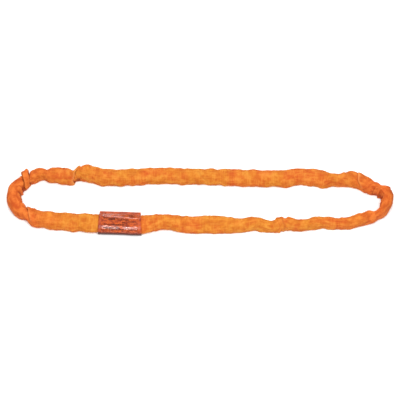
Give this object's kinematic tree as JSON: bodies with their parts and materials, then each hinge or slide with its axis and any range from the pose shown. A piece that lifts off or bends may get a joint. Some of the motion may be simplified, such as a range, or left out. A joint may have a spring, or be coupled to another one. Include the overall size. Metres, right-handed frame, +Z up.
{
  "type": "round sling",
  "caption": "Endless round lifting sling: woven cover, loose inner cover and yarn core in a closed loop, with a sewn-on tag sleeve, lying relaxed.",
  "frame": {"origin": "bottom centre of the relaxed loop's box, on the surface that it lies on", "axes": "+X along the sling, +Y across the loop away from the tag's run, +Z up"},
  "size_m": [1.2016, 0.2438, 0.0562],
  "materials": {
    "outer_cover": "plain-woven orange polyester jacket",
    "inner_cover": "thin woven white polyester",
    "core_yarn": "continuous filament yarn, slightly shiny",
    "tie_tape": "cream binding tape",
    "cover_thread": "orange sewing thread",
    "inner_thread": "white sewing thread",
    "tag_sleeve": "red-orange coated fabric",
    "tag_label": null,
    "tag_window": "clear glossy film",
    "tag_thread": "dark sewing thread"
  },
  "bodies": {
    "root": {"outer_cover": "outer_cover", "inner_cover": "inner_cover", "core_hank_1": "core_yarn", "core_hank_2": "core_yarn", "core_hank_3": "core_yarn", "core_hank_4": "core_yarn", "core_hank_5": "core_yarn", "core_hank_6": "core_yarn", "core_tie_1": "tie_tape", "core_tie_2": "tie_tape", "core_tie_3": "tie_tape", "outer_cover_seam_1": "cover_thread", "outer_cover_seam_2": "cover_thread", "inner_cover_seam_1": "inner_thread", "inner_cover_seam_2": "inner_thread", "tag_sleeve": "tag_sleeve", "tag_label": "tag_label", "tag_window": "tag_window", "tag_fin_stitching": "tag_thread", "tag_end_stitching_left": "tag_thread", "tag_end_stitching_right": "tag_thread"}
  },
  "joints": []
}
